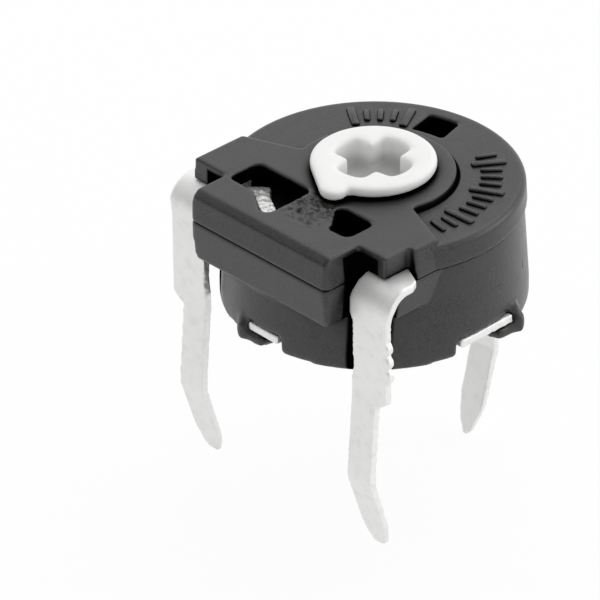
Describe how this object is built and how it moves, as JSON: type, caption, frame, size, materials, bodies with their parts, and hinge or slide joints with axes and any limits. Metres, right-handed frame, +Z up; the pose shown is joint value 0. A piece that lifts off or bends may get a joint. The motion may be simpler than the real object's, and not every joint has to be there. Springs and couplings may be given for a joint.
{
  "type": "rotary potentiometer",
  "caption": "Open carbon trimmer potentiometer: black two-part round case with a square terminal end, white cross-slot rotor on top, flat tinned leads below.",
  "frame": {"origin": "on the rotor axis, at the foot of the skirt, where the part sits on its board", "axes": "+Z is up along the rotor axis, -Y points to the two front leads, +X is to the right seen from those leads"},
  "size_m": [0.011, 0.011, 0.013],
  "materials": {
    "moulding": "satin moulded black plastic",
    "rotor_white": "satin moulded white plastic",
    "board_resin": "phenolic paper board",
    "carbon": "printed carbon film",
    "pad_paste": "printed conductive paste",
    "tinned": "tinned sheet, satin",
    "rivet_metal": "plated brass, satin",
    "spring_metal": "phosphor bronze spring sheet"
  },
  "bodies": {
    "case": {"housing": "moulding", "cover": "moulding", "track_board": "board_resin", "carbon_track": "carbon", "end_pad_left": "pad_paste", "end_pad_right": "pad_paste", "terminal_left": "tinned", "terminal_right": "tinned", "terminal_rivet_left": "rivet_metal", "terminal_rivet_right": "rivet_metal", "collector_plate": "tinned", "collector_hub": "rivet_metal"},
    "rotor_set": {"rotor": "rotor_white", "wiper": "spring_metal"}
  },
  "joints": [
    {"name": "rotor_turn", "type": "hinge", "parent": "case", "child": "rotor_set", "pos_m": [0, 0, 0.004], "axis": [0, 0, 1], "range_deg": [-128.5, 106.5]}
  ]
}
